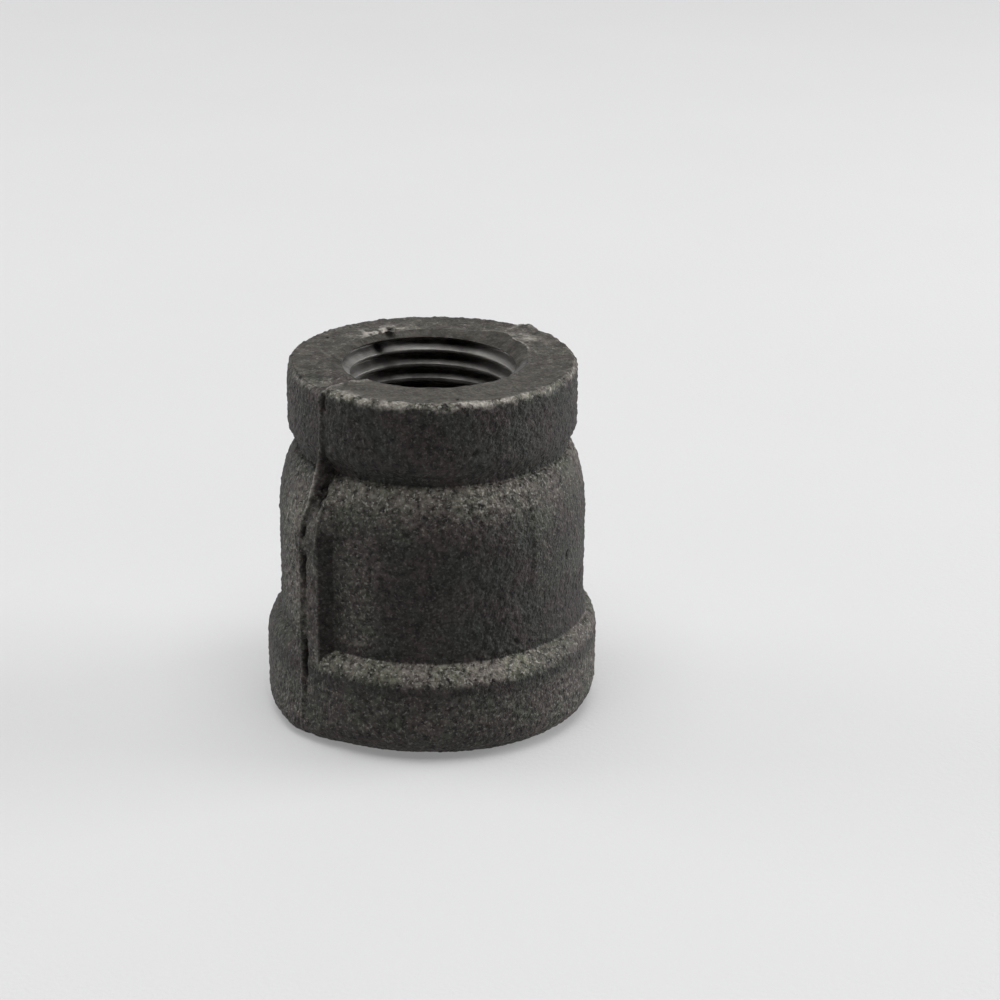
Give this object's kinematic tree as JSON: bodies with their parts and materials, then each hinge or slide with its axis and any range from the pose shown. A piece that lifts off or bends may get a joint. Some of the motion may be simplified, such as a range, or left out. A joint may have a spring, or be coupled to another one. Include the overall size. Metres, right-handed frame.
{
  "type": "reducing coupling",
  "caption": "Banded cast-iron pipe coupling that joins a larger and a smaller threaded pipe end to end, with a taper thread in each end.",
  "frame": {"origin": "centre of the large end's face, on the bore axis", "axes": "+Z along the bore axis from the large end to the small end; the mould's parting plane holds the axis, 44 degrees counter-clockwise from +X"},
  "size_m": [0.0308, 0.0308, 0.0333],
  "materials": {
    "cast_iron": "sand-cast skin, dark grey-brown, with worn machined ends and threads"
  },
  "bodies": {
    "root": {"coupling_body": "cast_iron"}
  },
  "joints": []
}
